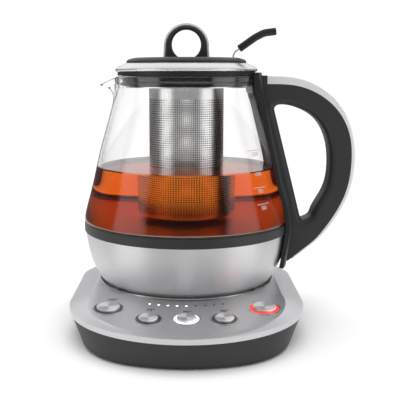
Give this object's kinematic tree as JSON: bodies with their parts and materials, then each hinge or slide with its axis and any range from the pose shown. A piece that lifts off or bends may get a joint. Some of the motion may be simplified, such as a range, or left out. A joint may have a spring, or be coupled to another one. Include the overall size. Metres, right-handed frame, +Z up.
{
  "type": "automatic tea maker",
  "caption": "Glass tea maker with a steel bowl, spout, side handle and lidded infuser, lifting off a heated power base with a row of push buttons.",
  "frame": {"origin": "the jug's axis, on the surface that the base stands on", "axes": "+Z up along the jug's axis, +X towards the handle, -Y towards the buttons"},
  "size_m": [0.2309, 0.2228, 0.2431],
  "materials": {
    "silver_shell": "satin, fine brushed",
    "dark_plastic": "fine moulded grain",
    "black_plastic": "smooth",
    "foot_rubber": "matt",
    "bowl_steel": "brushed round",
    "polished_steel": "polished",
    "mesh_steel": "perforated sheet",
    "jug_glass": "clear borosilicate",
    "band_plastic": "matt",
    "silicone": "matt silicone",
    "handle_silver": "satin silver",
    "light_ring": "translucent",
    "cap_metal": "spun",
    "circuit_board": "solder mask",
    "screw_steel": "zinc plated",
    "contact_brass": "bare",
    "component_black": "moulded"
  },
  "bodies": {
    "power_base": {"base_top_shell": "silver_shell", "base_lower_shell": "dark_plastic", "foot_ring": "foot_rubber", "base_screws": "screw_steel", "cord_inlet": "dark_plastic", "base_connector_housing": "black_plastic", "base_connector_contacts": "contact_brass", "control_board": "circuit_board", "tactile_switches": "component_black", "board_screws": "screw_steel", "indicator_lenses": "light_ring", "button_bezels": "polished_steel", "power_board": "circuit_board", "relay": "component_black", "transformer": "component_black", "hot_water_light_ring": "light_ring", "green_tea_light_ring": "light_ring", "black_tea_light_ring": "light_ring", "oolong_tea_light_ring": "light_ring", "start_light_ring": "light_ring"},
    "jug_connector": {"jug_connector_body": "black_plastic", "jug_connector_rings": "contact_brass"},
    "jug": {"glass_body": "jug_glass", "lower_bowl": "bowl_steel", "seal_band": "band_plastic", "glass_gasket": "silicone", "heating_plate": "bowl_steel", "heating_element": "screw_steel", "thermal_cutout": "component_black", "temperature_sensor": "screw_steel", "bottom_cover": "dark_plastic", "cover_screws": "screw_steel", "handle_saddle": "dark_plastic", "handle_grip": "dark_plastic", "handle_trim": "handle_silver", "handle_screws": "screw_steel", "neck_clamp_pad": "dark_plastic"},
    "lid": {"lid_rim": "polished_steel", "lid_cap": "dark_plastic", "lid_loop": "black_plastic", "lid_loop_trim": "handle_silver", "lid_screws": "screw_steel", "lid_gasket": "silicone", "lid_plug": "black_plastic", "lever_pin": "polished_steel", "lever_spring": "polished_steel"},
    "lever": {"lever_wire": "polished_steel", "lever_grip": "foot_rubber"},
    "infuser": {"infuser_basket": "mesh_steel", "infuser_flange": "polished_steel"},
    "hot_water_button": {"hot_water_cap": "cap_metal", "hot_water_stem": "black_plastic"},
    "green_tea_button": {"green_tea_cap": "cap_metal", "green_tea_stem": "black_plastic"},
    "black_tea_button": {"black_tea_cap": "cap_metal", "black_tea_stem": "black_plastic"},
    "oolong_tea_button": {"oolong_tea_cap": "cap_metal", "oolong_tea_stem": "black_plastic"},
    "start_button": {"start_cap": "cap_metal", "start_stem": "black_plastic"}
  },
  "joints": [
    {"name": "jug_lift", "type": "slide", "parent": "power_base", "child": "jug_connector", "axis": [0, 0, 1], "range_m": [0, 0.06]},
    {"name": "jug_turn", "type": "hinge", "parent": "jug_connector", "child": "jug", "pos_m": [0, 0, 0.042], "axis": [0, 0, 1], "continuous": true},
    {"name": "lid_lift", "type": "slide", "parent": "jug", "child": "lid", "axis": [0, 0, 1], "range_m": [0, 0.125]},
    {"name": "infuser_twist", "type": "hinge", "parent": "lid", "child": "infuser", "pos_m": [0, 0, 0.1865], "axis": [0, 0, 1], "range_deg": [0, 30]},
    {"name": "lever_press", "type": "hinge", "parent": "lid", "child": "lever", "pos_m": [0.038, 0, 0.2104], "axis": [0, 1, 0], "range_deg": [0, 20], "stiffness_Nm_per_rad": 0.06, "springref_deg": -17.19},
    {"name": "hot_water_press", "type": "slide", "parent": "power_base", "child": "hot_water_button", "axis": [0, 0.1115, -0.9938], "range_m": [0, 0.0012], "stiffness_N_per_m": 300, "springref_m": -0.002},
    {"name": "green_tea_press", "type": "slide", "parent": "power_base", "child": "green_tea_button", "axis": [0, 0.1115, -0.9938], "range_m": [0, 0.0012], "stiffness_N_per_m": 300, "springref_m": -0.002},
    {"name": "black_tea_press", "type": "slide", "parent": "power_base", "child": "black_tea_button", "axis": [0, 0.1115, -0.9938], "range_m": [0, 0.0012], "stiffness_N_per_m": 300, "springref_m": -0.002},
    {"name": "oolong_tea_press", "type": "slide", "parent": "power_base", "child": "oolong_tea_button", "axis": [0, 0.1115, -0.9938], "range_m": [0, 0.0012], "stiffness_N_per_m": 300, "springref_m": -0.002},
    {"name": "start_press", "type": "slide", "parent": "power_base", "child": "start_button", "axis": [0, 0.1115, -0.9938], "range_m": [0, 0.0012], "stiffness_N_per_m": 300, "springref_m": -0.002}
  ]
}
